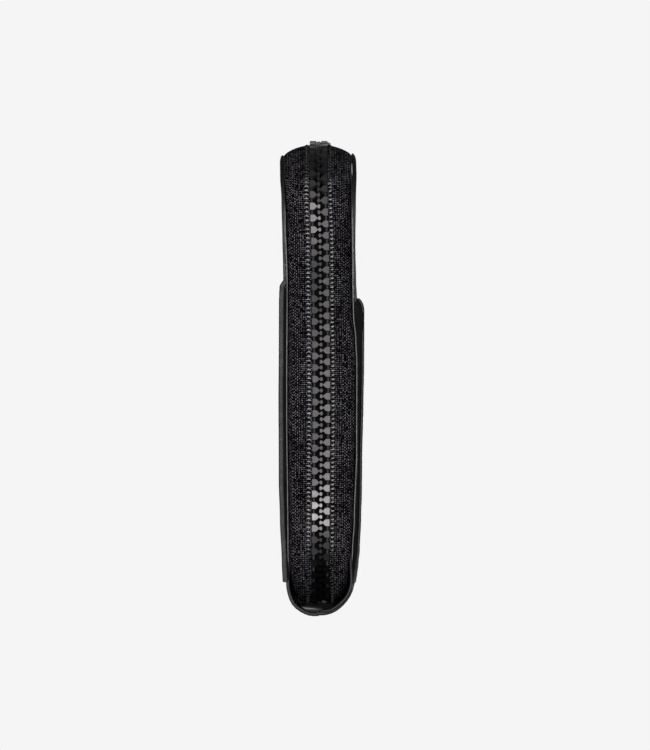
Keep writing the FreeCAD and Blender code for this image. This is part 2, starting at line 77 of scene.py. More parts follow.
# the panels lie in from the chain line; the pockets' mouths are at the tops of their nodes
INSET = TOP - PANEL_HIGH.z
PANEL_HALF = (PANEL_HIGH.y - PANEL_LOW.y) / 2
MOUTHS = {"front": box_mm("front_slip_pocket")[1].z, "back": box_mm("back_slip_pocket")[1].z}

TOOTH_PITCH = 3.83
TOOTH_OUTER = TEETH_HIGH.x
TOOTH_PROUD = TEETH_HIGH.z - TOP
FIRST_TOOTH = 3.24
STITCHES_PER_TOOTH = 2.62
# the tape: where its edge lies beside the chain, its flat strip there, and how far it domes over
TAPE_EDGE = 2.3
TAPE_THICK = 0.5
TAPE_FLAT = 1.2
TAPE_DROP = 5.6
CORD_RADIUS = 0.52
WELT_RADIUS = 0.31
# the heights between which the covers' walls are drawn; past them the nearest value holds
WALL_LOW = 12.0
WALL_HIGH = 152.0


# ---- mesh helpers


def smoothstep(low, high, value):
    t = min(1.0, max(0.0, (value - low) / (high - low)))
    return t * t * (3 - 2 * t)


def curve_through(points):
    """A smooth function of z through (z, value) points."""
    points = sorted(points)

    def at(z):
        if z <= points[0][0]:
            return points[0][1]
        for (z0, a), (z1, b) in zip(points, points[1:]):
            if z <= z1:
                return a + (b - a) * smoothstep(z0, z1, z)
        return points[-1][1]

    return at


def put_in_scene(name, data):
    thing = bpy.data.objects.new(name, data)
    bpy.context.scene.collection.objects.link(thing)
    return thing


def make_piece(name, vertices, faces, material, crease=180, uvs=None, tones=None):
    """A mesh piece from millimetre points. uvs are per vertex; tones is one number per face.

    Edges that turn by more than crease degrees stay sharp in the shading.
    """
    mesh = bpy.data.meshes.new(name)
    mesh.from_pydata([Vector(v) * MM for v in vertices], [], faces)
    if uvs:
        layer = mesh.uv_layers.new(name="Weave")
        for loop in mesh.loops:
            layer.data[loop.index].uv = uvs[loop.vertex_index]
    if tones:
        attribute = mesh.attributes.new("tone", "FLOAT", "FACE")
        attribute.data.foreach_set("value", tones)
    mesh.validate()
    work = bmesh.new()
    work.from_mesh(mesh)
    bmesh.ops.recalc_face_normals(work, faces=work.faces)
    work.to_mesh(mesh)
    work.free()
    for polygon in mesh.polygons:
        polygon.use_smooth = True
    if crease < 180:
        mesh.set_sharp_from_angle(angle=math.radians(crease))
    mesh.materials.append(material)
    return put_in_scene(name, mesh)


def loft(loops):
    """Faces that join equal closed loops of points, with a face over each end."""
    vertices = [p for ring in loops for p in ring]
    count = len(loops[0])
    last = len(vertices) - count
    faces = []
    for start in range(0, last, count):
        for k in range(count):
            a, b = start + k, start + (k + 1) % count
            faces.append((a, b, b + count, a + count))
    return vertices, [*faces, tuple(range(count)), tuple(range(last, last + count))]


def tube(points, radius, sides):
    """A round tube along points. radius is a number, or a function of the share of the way along."""
    points = [Vector(p) for p in points]
    loops = []
    previous = None
    for index, point in enumerate(points):
        ahead = points[min(index + 1, len(points) - 1)] - points[max(index - 1, 0)]
        ahead.normalize()
        if previous is None:
            seed = Vector((0, 0, 1)) if abs(ahead.z) < 0.8 else Vector((1, 0, 0))
            across = ahead.cross(seed).normalized()
        else:
            across = (previous - ahead * previous.dot(ahead)).normalized()
        previous = across
        up = ahead.cross(across)
        size = radius(index / (len(points) - 1)) if callable(radius) else radius
        ring = []
        for k in range(sides):
            angle = 2 * math.pi * k / sides
            ring.append(point + across * (size * math.cos(angle)) + up * (size * math.sin(angle)))
        loops.append(ring)
    return loft(loops)


class Gathering:
    """Several small closed meshes gathered into one piece, with a tone for each."""

    def __init__(self):
        self.vertices = []
        self.faces = []
        self.tones = []

    def add(self, vertices, faces, tone=0.5):
        start = len(self.vertices)
        self.vertices += [tuple(v) for v in vertices]
        self.faces += [tuple(start + i for i in face) for face in faces]
        self.tones += [tone] * len(faces)

    def piece(self, name, material, crease=180):
        return make_piece(name, self.vertices, self.faces, material, crease, tones=self.tones)


# ---- the line of the zip


END_TURN = BEND * BEND_TURN
STRAIGHT = TOP - CORNER - BEND_START
CORNER_TURN = CORNER * math.pi / 2
SPANS = [END_TURN, STRAIGHT, CORNER_TURN, 2 * (HALF - CORNER), CORNER_TURN, STRAIGHT, END_TURN]
ZIP_LENGTH = sum(SPANS)


def zip_at(length):
    """y, z and outward angle of the chain line at a length along it from its near end."""
    span = 0
    rest = length
    while span < 6 and rest > SPANS[span]:
        rest -= SPANS[span]
        span += 1
    if span == 1:
        y, z, out = -HALF, BEND_START + rest, math.pi
    elif span == 3:
        y, z, out = CORNER - HALF + rest, TOP, math.pi / 2
    elif span == 5:
        y, z, out = HALF, TOP - CORNER - rest, 0.0
    else:
        radius = BEND if span in (0, 6) else CORNER
        out = {0: math.pi + BEND_TURN, 2: math.pi, 4: math.pi / 2, 6: 0.0}[span] - rest / radius
        y = {0: BEND - HALF, 2: CORNER - HALF, 4: HALF - CORNER, 6: HALF - BEND}[span]
        z = BEND_START if span in (0, 6) else TOP - CORNER
        y += radius * math.cos(out)
        z += radius * math.sin(out)
    return y + MIDDLE, z, out


CHAIN_DRIFT = curve_through([(20, -0.45), (35, -0.35), (72, -0.15), (122, -0.55), (142, -1.1)])


def chain_x(length):
    """The chain wanders a little from the middle plane."""
    y, z, _ = zip_at(length)
    far = smoothstep(MIDDLE - 20, MIDDLE + 35, y)
    return CHAIN_DRIFT(z) * (1 - far)


def on_zip(length, x, out_by):
    """The point at x and at a height out of the chain line."""
    y, z, out = zip_at(length)
    return Vector((x, y + math.cos(out) * out_by, z + math.sin(out) * out_by))


def stations(step_straight, step_bend, start=0.0, end=None):
    """Lengths along the zip, closer together round the bends."""
    end = ZIP_LENGTH if end is None else end
    found = [start]
    while found[-1] < end - 0.01:
        z = zip_at(found[-1])[1]
        bent = z < BEND_START + 1 or z > TOP - CORNER - 1
        found.append(min(end, found[-1] + (step_bend if bent else step_straight)))
    return found


# ---- the leather's profile, seen along Y

# (height, distance from the middle plane), for each cover
OUTSIDE = {
    -1: curve_through(
        [(95, 12.75), (112, 12.9), (117, 12.97), (126, 13.2), (139, 13.5), (147, 13.95), (156, 14.15)]
    ),
    1: curve_through(
        [(12, 11.3), (22, 11.8), (60, 12.6), (92, 12.4), (106, 11.75), (112, 11.45), (124, 11.22),
         (139, 11.4), (147, 11.6), (152, 11.5)]
    ),
}
INSIDE = {
    -1: curve_through([(11, 10.4), (20, 10.95), (72, 11.4), (112, 11.25), (133, 11.9), (150, 12.6)]),
    1: curve_through(
        [(12, 9.2), (22, 9.9), (32, 10.5), (55, 11.25), (84, 11.35), (92, 11.0), (101, 10.2), (112, 9.95),
         (150, 9.7)]
    ),
}


def half_width_at(z, inset):
    """Half the width of an outline with round top corners, at an inset from the chain line."""
    radius = CORNER - inset
    rise = min(max(0.0, z - (TOP - CORNER)), radius)
    return HALF - CORNER + math.sqrt(radius * radius - rise * rise)


# a sheet's turned edge: its radius, and how far in from the edge the rows and columns of points lie
EDGE_ROUND = 0.5
EDGE_ROWS = [0.0, 0.05, 0.15, 0.3, 0.45, 1.1, 1.7, 2.1, 2.5, 2.9, 3.6]
EDGE_STEPS = [0.0, 0.05, 0.15, 0.3, 0.45, 0.8, 1.4, 1.9, 2.2, 2.5, 2.8, 3.1, 3.6, 4.4, 6.0, 10.0]
INNER_SHARES = [0.78, 0.55, 0.3, 0.1]
ROW_STEP = 2.2
CORNER_ROWS = 30
SEAM_IN = 2.5
SEAM_WIDTH = 0.6


def heights(low, high, inset):
    """Heights for the rows of a sheet, closer together at its ends and round its top corners."""
    start = TOP - CORNER
    found = [low + k for k in EDGE_ROWS]
    while found[-1] + ROW_STEP < min(start, high - 4):
        found.append(found[-1] + ROW_STEP)
    if high > start:
        turns = [math.pi / 2 * k / CORNER_ROWS for k in range(CORNER_ROWS)]
        found += [start + (CORNER - inset) * math.sin(turn) for turn in turns]
        found = [z for z in found if z < high - 0.7]
    found += [high - k for k in (*EDGE_ROWS, 0.7)]
    return sorted(set(found))


def leather_sheet(name, material, profile, thickness, inset, seam=0.0):
    """A sheet with turned, rounded edges all round, as wide as an outline at an inset allows.

    profile lists (x, z) points of its outer face. The inner face lies thickness away, to the right
    of the way that the profile runs. seam is the depth of the groove that its sewing pulls in.
    """
    profile = [Vector((x, 0, z)) for x, z in profile]
    last = len(profile) - 1
    length = [0.0]
    for a, b in zip(profile, profile[1:]):
        length.append(length[-1] + (b - a).length)
    radius = min(EDGE_ROUND, thickness * 0.48)
    loops = []
    for index, point in enumerate(profile):
        ahead = profile[min(index + 1, last)] - profile[max(index - 1, 0)]
        inward = Vector((ahead.z, 0, -ahead.x)).normalized()
        from_end = min(length[index], length[-1] - length[index])
        half = half_width_at(point.z, inset)
        face = []
        for step in EDGE_STEPS + [half - (half - 10) * share for share in INNER_SHARES]:
            distance = min(step, from_end)
            rounded = 1 - min(1.0, distance / radius)
            swell = radius * (1 - math.sqrt(1 - rounded * rounded))
            dip = seam * math.exp(-(((distance - SEAM_IN) / SEAM_WIDTH) ** 2))
            face.append((half - step, swell, dip))
        row = [(-y, swell, dip) for y, swell, dip in face] + face[::-1]
        outer = [point + inward * (swell + dip) for _, swell, dip in row]
        inner = [point + inward * (thickness - swell) for _, swell, _ in row]
        ring = [Vector((p.x, MIDDLE + y, p.z)) for p, (y, _, _) in zip(outer, row)]
        ring += [Vector((p.x, MIDDLE + y, p.z)) for p, (y, _, _) in reversed(list(zip(inner, row)))]
        loops.append(ring)
    return make_piece(name, *loft(loops), material)


# ---- materials


def new_material(name):
    material = bpy.data.materials.new(name)
    material.use_nodes = True
    return material, material.node_tree, material.node_tree.nodes["Principled BSDF"]


def add(tree, kind, **settings):
    """Adds a node. Settings that name an input fill it; the rest are the node's own properties."""
    node = tree.nodes.new(kind)
    for key, value in settings.items():
        if key in node.inputs:
            node.inputs[key].default_value = value
        else:
            setattr(node, key, value)
    return node


def link(tree, source, target):
    tree.links.new(source, target)


def texture(tree, kind, **settings):
    """A texture laid out in the piece's own coordinates."""
    node = add(tree, kind, **settings)
    link(tree, add(tree, "ShaderNodeTexCoord").outputs["Object"], node.inputs["Vector"])
    return node.outputs


def grains(tree, scale, detail):
    return texture(tree, "ShaderNodeTexNoise", Scale=scale, Detail=detail)[0]


def maths(tree, operation, first, second=None, third=None):
    node = add(tree, "ShaderNodeMath", operation=operation)
    for socket, value in zip(node.inputs, (first, second, third)):
        if isinstance(value, (int, float)):
            socket.default_value = value
        elif value is not None:
            link(tree, value, socket)
    return node.outputs[0]


def times(tree, first, second):
    return maths(tree, "MULTIPLY", first, second)


def ramp(tree, value, low, high, dark, light):
    """Maps low..high of a value to dark..light, held at the ends."""
    ends = {"From Min": low, "From Max": high, "To Min": dark, "To Max": light}
    node = add(tree, "ShaderNodeMapRange", clamp=True, **ends)
    link(tree, value, node.inputs["Value"])
    return node.outputs["Result"]


def paint(tree, shader, share, dark, light):
    """The base colour: from dark to light as share goes from 0 to 1."""
    node = add(tree, "ShaderNodeMix", data_type="RGBA")
    link(tree, share, node.inputs["Factor"])
    node.inputs[6].default_value = (*dark, 1)
    node.inputs[7].default_value = (*light, 1)
    link(tree, node.outputs[2], shader.inputs["Base Color"])


def bump(tree, shader, height, strength, distance):
    node = add(tree, "ShaderNodeBump", Strength=strength, Distance=distance)
    link(tree, height, node.inputs["Height"])
    link(tree, node.outputs["Normal"], shader.inputs["Normal"])


def leather_material(name, dark, light, rough, grain, specular):
    """Pebbled grain, in patches that are a little paler or smoother than others."""
    material, tree, shader = new_material(name)
    cells = texture(tree, "ShaderNodeTexVoronoi", feature="DISTANCE_TO_EDGE", Scale=1150.0)["Distance"]
    fine = grains(tree, 4200.0, 3.0)
    broad = grains(tree, 70.0, 4.0)
    stretch = grains(tree, 380.0, 2.0)
    pebbles = ramp(tree, cells, 0.0, 0.16, 0.0, 1.0)
    bump(tree, shader, maths(tree, "MULTIPLY_ADD", fine, 0.35, pebbles), 0.35 * grain, 0.00012)
    share = maths(tree, "MULTIPLY_ADD", broad, 0.8, times(tree, pebbles, 0.25))
    paint(tree, shader, ramp(tree, share, 0.25, 0.9, 0.0, 1.0), dark, light)
    link(tree, ramp(tree, stretch, 0.3, 0.7, rough - 0.07, rough + 0.09), shader.inputs["Roughness"])
    shader.inputs["Specular IOR Level"].default_value = specular
    return material


def wave(tree, value, period):
    """0 to 1 and back over each period."""
    turned = times(tree, value, 2 * math.pi / period)
    return maths(tree, "MULTIPLY_ADD", maths(tree, "SINE", turned), 0.5, 0.5)


def tape_material(name):
    """Ribbed beside the chain, and herringbone twill over the shoulder of the tape. The weave's pale crowns
    are partly painted sheen, and the tape is painted darker near the zip's near end as shade.
    """
    material, tree, shader = new_material(name)
    split = add(tree, "ShaderNodeSeparateXYZ")
    link(tree, add(tree, "ShaderNodeUVMap", uv_map="Weave").outputs[0], split.inputs[0])
    across, along, _ = split.outputs
    parity = maths(tree, "MODULO", maths(tree, "FLOOR", maths(tree, "DIVIDE", across, 1.9)), 2.0)
    lean = maths(tree, "MULTIPLY_ADD", parity, 1.7, -0.85)
    slanted = maths(tree, "MULTIPLY_ADD", lean, across, along)
    twill = times(tree, wave(tree, slanted, 0.98), wave(tree, across, 0.7))
    twill = maths(tree, "POWER", twill, 1.3)
    ribs = times(tree, wave(tree, along, 0.66), 0.62)
    ribs = times(tree, ribs, ramp(tree, wave(tree, across, 0.8), 0, 1, 0.35, 1.0))
    shoulder = ramp(tree, across, 4.6, 5.6, 0.0, 1.0)
    ribs = times(tree, ribs, maths(tree, "SUBTRACT", 1.0, shoulder))
    weave = maths(tree, "ADD", times(tree, twill, shoulder), ribs)
    weave = times(tree, weave, ramp(tree, grains(tree, 1500.0, 2.0), 0.36, 0.62, 0.1, 1.5))
    weave = times(tree, weave, ramp(tree, grains(tree, 260.0, 2.0), 0.35, 0.65, 0.65, 1.2))
    # painted shade: darker over the first 20 mm, where the zip turns in under the covers
    near_end = ramp(tree, along, 4.0, 20.0, 0.35, 1.0)
    weave_sheen_and_shade = times(tree, ramp(tree, weave, 0.16, 0.95, 0.0, 1.0), near_end)
    # the weave pattern is real; its light end is painted sheen on the crowns of the black tape
    paint(tree, shader, weave_sheen_and_shade, (0.0017, 0.0013, 0.0021), (0.215, 0.205, 0.225))
    bump(tree, shader, weave, 0.6, 0.00016)
    shader.inputs["Roughness"].default_value = 0.85
    shader.inputs["Specular IOR Level"].default_value = 0.01
    return material


def cloth_material(name, dark, light):
    """A plain twill, seen on the lining."""
    material, tree, shader = new_material(name)
    split = add(tree, "ShaderNodeSeparateXYZ")
    link(tree, add(tree, "ShaderNodeTexCoord").outputs["Object"], split.inputs[0])
    along = maths(tree, "DIVIDE", split.outputs[2], MM)
    across = maths(tree, "DIVIDE", split.outputs[1], MM)
    twill = wave(tree, maths(tree, "ADD", along, across), 0.88)
    weft = wave(tree, maths(tree, "SUBTRACT", across, along), 0.55)
    height = times(tree, times(tree, twill, weft), grains(tree, 900.0, 2.0))
    paint(tree, shader, ramp(tree, height, 0.0, 0.5, 0, 1), dark, light)
    bump(tree, shader, height, 0.5, 0.00015)
    shader.inputs["Roughness"].default_value = 0.85
    shader.inputs["Specular IOR Level"].default_value = 0.2
    shader.inputs["Sheen Weight"].default_value = 0.15
    return material


def plastic_material(name):
    """Moulded plastic, with a fine spark-eroded texture. Each tooth has a tone of its own, which paints light
    and shade into its colour and sets its shine.
    """
    material, tree, shader = new_material(name)
    tone = add(tree, "ShaderNodeAttribute", attribute_name="tone").outputs["Fac"]
    grit = grains(tree, 3600.0, 3.0)
    cloud = grains(tree, 900.0, 2.0)
    varied = times(tree, tone, ramp(tree, grit, 0.3, 0.7, 0.72, 1.25))
    varied = times(tree, varied, ramp(tree, cloud, 0.3, 0.7, 0.85, 1.12))
    paint(tree, shader, varied, (0.0022, 0.002, 0.0023), (0.5, 0.475, 0.49))
    bump(tree, shader, grit, 0.3, 0.00006)
    link(tree, ramp(tree, cloud, 0.3, 0.7, 0.42, 0.56), shader.inputs["Roughness"])
    # darker teeth shine less too, as part of the painted shade
    link(tree, ramp(tree, tone, 0.02, 0.8, 0.02, 0.5), shader.inputs["Specular IOR Level"])
    return material


def thread_material(name, dark, light):
    """Twisted sewing thread. Each stitch has a tone of its own."""
    material, tree, shader = new_material(name)
    twist = texture(tree, "ShaderNodeTexWave", Scale=900.0, Distortion=1.5, bands_direction="DIAGONAL")["Fac"]
    tone = add(tree, "ShaderNodeAttribute", attribute_name="tone").outputs["Fac"]
    lit = times(tree, tone, ramp(tree, twist, 0, 1, 0.7, 1.0))
    paint(tree, shader, lit, dark, light)
    bump(tree, shader, twist, 0.4, 0.00006)
    shader.inputs["Roughness"].default_value = 0.55
    shader.inputs["Specular IOR Level"].default_value = 0.35
    return material


def metal_material(name):
    """Satin black paint over cast zinc, rubbed brighter here and there."""
    material, tree, shader = new_material(name)
    cloud = grains(tree, 320.0, 4.0)
    rubbed = ramp(tree, cloud, 0.52, 0.72, 0.0, 1.0)
    paint(tree, shader, rubbed, (0.012, 0.012, 0.013), (0.05, 0.05, 0.052))
    link(tree, ramp(tree, cloud, 0.3, 0.7, 0.24, 0.42), shader.inputs["Roughness"])
    bump(tree, shader, grains(tree, 2600.0, 2.0), 0.15, 0.00004)
    shader.inputs["Specular IOR Level"].default_value = 0.6
    shader.inputs["Coat Weight"].default_value = 0.25
    return material


def board_material(name):
    material, tree, shader = new_material(name)
    fibres = grains(tree, 1400.0, 4.0)
    paint(tree, shader, ramp(tree, fibres, 0.3, 0.7, 0, 1), (0.2, 0.18, 0.15), (0.34, 0.31, 0.27))
    bump(tree, shader, fibres, 0.3, 0.0001)
    shader.inputs["Roughness"].default_value = 0.9
    return material


LEATHER = leather_material(
    "black grained leather", (0.003, 0.003, 0.0033), (0.009, 0.009, 0.0098),
    rough=0.42, grain=1.0, specular=0.34,
)
# the same black leather, painted paler so the welt and end tabs show painted highlights
HIGHLIGHT_PALED_LEATHER = leather_material(
    "black leather paled for painted highlight", (0.008, 0.008, 0.0085), (0.022, 0.0217, 0.0225),
    rough=0.34, grain=0.4, specular=0.8,
)
# raw leather edge, made darker than the panels as painted shade in the pocket mouths and under the zip's ends
RAW_EDGE_SHADE_DARK = leather_material(
    "black raw leather edge darkened as painted shade", (0.0015, 0.0015, 0.0017), (0.005, 0.005, 0.0055),
    rough=0.8, grain=1.0, specular=0.08,
)
TAPE = tape_material("black zip tape")
LINING = cloth_material("black lining", (0.006, 0.006, 0.0065), (0.028, 0.028, 0.03))
PLASTIC = plastic_material("black moulded teeth")
# dark grey thread whose light end is painted pale as its gloss highlight
RIB_THREAD = thread_material("grey edge thread with painted gloss", (0.002, 0.0016, 0.0024), (0.45, 0.436, 0.45))
SEWING = thread_material("black sewing thread", (0.008, 0.008, 0.009), (0.05, 0.05, 0.052))
METAL = metal_material("satin black metal")
BOARD = board_material("grey board")


# ---- leather


COVERS = {"front": -1, "back": 1}
ENDS = {"near": -1, "far": 1}
BODIES = {"front": "front_cover", "back": "back_shell"}
# from the first point to the second, a flexible piece goes over from its cover to the spine
SPINE_BENDS = {
    "front": (Vector((-11.6, MIDDLE, 9.0)), Vector((-5.8, MIDDLE, 1.4))),
    "back": (Vector((11.0, MIDDLE, 9.5)), Vector((5.6, MIDDLE, 1.6))),
}
TAPE_BEND = (Vector((9.0, MIDDLE, 20.0)), Vector((-2.0, MIDDLE, 2.0)))

# the round underside of the spine, as (x, z), from the back panel to where the front wrap laps over it
UNDERSIDE = [
    (11.75, 20.0), (11.62, 17.5), (11.45, 15.0), (11.2, 12.6), (10.85, 10.4), (10.35, 8.5), (9.55, 6.7),
    (8.5, 5.1), (7.3, 3.7), (6.0, 2.5), (4.6, 1.5), (3.1, 0.82), (1.6, 0.42), (0.6, 0.27), (-0.6, 0.24),
    (-1.2, 0.28), (-2.0, 0.4),
]
# the front wrap's outer face, as (x, z), from its lapped edge to where it tucks up under the front panel
WRAP = [
    (-0.62, 0.4), (-0.8, 0.15), (-1.2, 0.02), (-1.9, 0.0), (-3.0, 0.0), (-4.3, 0.17), (-5.8, 0.72),
    (-7.3, 1.5), (-8.7, 2.5), (-9.9, 3.8), (-10.75, 5.3), (-11.35, 7.05), (-11.75, 8.8), (-11.95, 10.4),
    (-11.95, 12.0), (-11.9, 13.4), (-11.85, 14.4), (-11.85, 15.0),
]


def follow(piece, cover, bend=None):
    """Without bend, the piece moves with its cover. With bend, its placing is baked into its mesh and it is
    attached to nothing.
    """
    if bend is None:
        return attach(piece, BODIES[cover])
    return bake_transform(piece)


def panel(cover):
    """A cover's leather, leaning in at its top. On the back it is one sheet with the spine's underside."""
    side = COVERS[cover]
    lowest = 11.3 if side < 0 else 21.0
    highest = PANEL_HIGH.z + (0.0 if side < 0 else 0.6)
    turn, lean = (3.2, 1.15) if side < 0 else (3.5, 1.5)
    profile = []
    for z in heights(lowest, highest, INSET):
        share = min(1.0, max(0.0, (turn - highest + z) / turn))
        profile.append((side * (OUTSIDE[side](z) - lean * (1 - math.sqrt(1 - share * share))), z))
    if side > 0:
        profile = profile[::-1] + UNDERSIDE
    piece = leather_sheet(f"{cover}_panel_leather", LEATHER, profile, 1.3, INSET + 0.2, seam=0.1)
    if side > 0:
        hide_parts("back_panel", "back_spine_wall", "spine_base")
        return follow(piece, cover, SPINE_BENDS[cover])
    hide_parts("front_panel")
    return follow(piece, cover)


def front_wrap():
    """The spine's leather where it laps over the middle and tucks up under the front panel."""
    piece = leather_sheet("front_spine_wrap", LEATHER, WRAP, 1.25, INSET + 0.1, seam=0.08)
    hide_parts("front_spine_wall")
    return follow(piece, "front", SPINE_BENDS["front"])


# a pocket's outer face, as (height, distance from the middle plane), and its mouth, as (distance, drop)
POCKET_FACE = {
    -1: curve_through(
        [(11, 13.1), (18, 13.4), (33, 14.03), (45, 14.4), (57, 14.42), (72, 14.5), (90, 14.38), (110, 14.32)]
    ),
    1: curve_through(
        [(10.9, 11.2), (12, 11.5), (14, 11.85), (17, 12.2), (22, 12.7), (33, 13.17), (42, 13.42), (52, 13.5),
         (72, 13.92), (82, 14.12), (95, 14.2)]
    ),
}
POCKET_MOUTH = {
    -1: [(14.15, -2.5), (14.05, -2.0), (13.75, -1.45), (13.3, -0.75), (12.95, -0.2), (12.8, 0.0)],
    1: [(14.22, -4.6), (14.15, -3.7), (13.95, -2.7), (13.6, -1.8), (13.1, -1.0), (12.5, -0.35), (12.1, 0.0)],
}


def pocket_sheet(cover):
    """The slip pocket. Its mouth leans back to the panel; on the back it stands open a little."""
    side = COVERS[cover]
    mouth = MOUTHS[cover] + (1.3 if side < 0 else 0.4)
    thickness = 1.8 if side < 0 else 0.95
    inset = INSET - 0.3 if side < 0 else INSET
    lowest = 11.3 if side < 0 else 10.9
    rows = [z for z in heights(lowest, mouth, inset) if z < mouth - 5.0]
    profile = [(side * POCKET_FACE[side](z), z) for z in rows]
    profile += [(side * x, mouth + drop) for x, drop in POCKET_MOUTH[side]]
    if side > 0:
        profile.reverse()
    piece = leather_sheet(f"{cover}_slip_pocket_leather", LEATHER, profile, thickness, inset, seam=0.16)
    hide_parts(f"{cover}_slip_pocket")
    return follow(piece, cover)


def pocket_gussets(cover):
    """The raw edges that close a pocket's two sides, between its leather and the welt, in near-black leather
    as painted shade inside the pocket.
    """
    side = COVERS[cover]
    mouth = MOUTHS[cover] - (1.0 if side < 0 else 0.3)
    for name, end in ENDS.items():
        rings = []
        z = WALL_LOW
        while z < mouth:
            near_mouth = smoothstep(mouth - 13, mouth - 9, z)
            inner = INSIDE[side](z) + (0.2 if side < 0 else 0.7)
            if side < 0:
                outer = POCKET_FACE[side](z) - 1.7
            else:
                outer = POCKET_FACE[side](min(z, 95)) - 0.95 + 0.8 * near_mouth
                outer -= 1.9 * smoothstep(mouth - 5.5, mouth + 1, z)
            outer = max(outer, inner + 0.3)
            edge = MIDDLE + end * (PANEL_HALF + 0.05 + 0.12 * near_mouth * max(side, 0))
            middle = (inner + outer) / 2
            section = [(inner + 0.1, 0.12), (middle, 0.0), (outer - 0.1, 0.12), (outer, 1.9), (inner, 1.9)]
            rings.append([Vector((side * x, edge - end * depth, z)) for x, depth in section])
            z += 1.5
        piece = make_piece(f"{cover}_pocket_edge_{name}", *loft(rings), RAW_EDGE_SHADE_DARK, 70)
        follow(piece, cover)


def spine_facing():
    """The inner layer of the spine's leather. Its upper end shows as a small step on the back cover."""
    inner_line = [
        (9.05, 20.8), (9.1, 18.5), (9.2, 16.0), (9.32, 13.8), (9.36, 12.2), (9.25, 10.6), (8.95, 9.1),
        (8.3, 7.5), (7.45, 6.2), (6.3, 4.95), (5.05, 3.9), (3.8, 3.05), (2.5, 2.45), (1.2, 2.2), (0.0, 2.15),
        (-0.8, 2.15),
    ]
    thickness = 1.05
    points = [Vector((x, 0, z)) for x, z in inner_line]
    profile = []
    for index, point in enumerate(points):
        ahead = points[min(index + 1, len(points) - 1)] - points[max(index - 1, 0)]
        outer = point - Vector((ahead.z, 0, -ahead.x)).normalized() * thickness
        profile.append((outer.x, outer.z))
    piece = leather_sheet("spine_facing", LEATHER, profile, thickness, INSET - 0.35)
    follow(piece, "back", SPINE_BENDS["back"])


def edge_bead(cover):
    """The rolled welt between panel and tape, a little fuller round the top."""
    side = COVERS[cover]
    lowest = 11.0 if side < 0 else 17.0
    points = []
    for length in stations(2.5, 1.2, END_TURN - 5.0, ZIP_LENGTH - END_TURN + 5.0):
        z = max(13.0, zip_at(length)[1])
        at_top = smoothstep(TOP - 12, TOP - 4, z)
        x = side * (INSIDE[side](min(z, WALL_HIGH)) + 0.34 - 0.45 * at_top)
        inset = 2.75 + (0.95 if side > 0 else 1.1) * smoothstep(TOP - CORNER - 5, TOP - 4, z)
        if side < 0:
            inset += 0.75 * (1 - smoothstep(MOUTHS[cover] - 8, MOUTHS[cover] + 2, z))
        point = on_zip(length, x, -inset)
        point.z = max(point.z, 13.0)
        if point.z > lowest + 1.5:
            points.append(point)
    path_ends = []
    for point, inward in ((points[0], 1), (points[-1], -1)):
        path_ends.append(Vector((side * (INSIDE[side](lowest) + 0.42), point.y + inward * 0.2, lowest)))
    spaced = [points[0]]
    for point in points[1:]:
        if (point - spaced[-1]).length > 0.8:
            spaced.append(point)
    path = [path_ends[0], *spaced, path_ends[1]]
    last = len(path) - 1

    def radius(share):
        near_end = min(share, 1 - share) * last
        fuller = 0.14 * smoothstep(TOP - 12, TOP - 4, path[round(share * last)].z)
        return (WELT_RADIUS + fuller) * smoothstep(-0.8, 1.5, near_end)

    # the welt's paler leather is painted highlight
    piece = make_piece(f"{cover}_edge_welt", *tube(path, radius, 12), HIGHLIGHT_PALED_LEATHER)
    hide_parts(f"{cover}_welt")
    return follow(piece, cover)


def inner_sheet(cover, name, node, material, outward, thickness, inset, low, high):
    """A flat layer inside a cover: the board, or the lining over it."""
    side = COVERS[cover]
    rows = heights(low, high, inset)
    profile = [(side * (INSIDE[side](min(z, 150.0)) + outward), z) for z in rows]
    if side > 0:
        profile.reverse()
    piece = leather_sheet(f"{cover}_{name}", material, profile, thickness, inset)
    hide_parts(f"{cover}_{node}")
    return follow(piece, cover)


def end_tabs():
    """The folded scrap of leather sewn over each end of the zip, where the spine's leather meets."""
    half = PANEL_HALF - 0.5
    for name, end in ENDS.items():
        rings = []
        for step in range(13):
            depth = 8.0 * step / 12
            round_off = math.sqrt(max(0.0, 1 - (1 - min(1.0, depth / 0.9)) ** 2))
            ring = []
            for k in range(28):
                angle = 2 * math.pi * k / 28
                across, up = math.cos(angle), math.sin(angle)
                squared = 1 / (abs(across) ** 3.2 + abs(up) ** 3.2) ** (1 / 3.2)
                x = -3.2 + across * squared * 3.8 * (0.9 + 0.1 * round_off)
                rise = 1.25 * (0.4 + 0.6 * round_off) * (1 - 0.035 * (x + 3.2) ** 2)
                z = 2.1 + 0.03 * (x + 1.2) ** 2 + up * squared * rise * 0.95
                ring.append(Vector((x, MIDDLE + end * (half - depth), z)))
            rings.append(ring)
        # the tab's paler leather is painted highlight
        piece = make_piece(f"{name}_end_tab_leather", *loft(rings), HIGHLIGHT_PALED_LEATHER)
        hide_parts(f"{name}_end_tab")
        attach(piece, "spine")


def spine_lining():
    """The lining's arc round the inside of the spine."""
    profile = []
    for step in range(25):
        angle = math.radians(-44 + 88 * step / 24)
        profile.append((-8.6 * math.sin(angle), 10.9 - 8.6 * math.cos(angle)))
    piece = leather_sheet("spine_lining_cloth", LINING, profile[::-1], 0.4, INSET + 10.5)
    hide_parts("spine_lining")
    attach(piece, "spine")


# ---- the zip


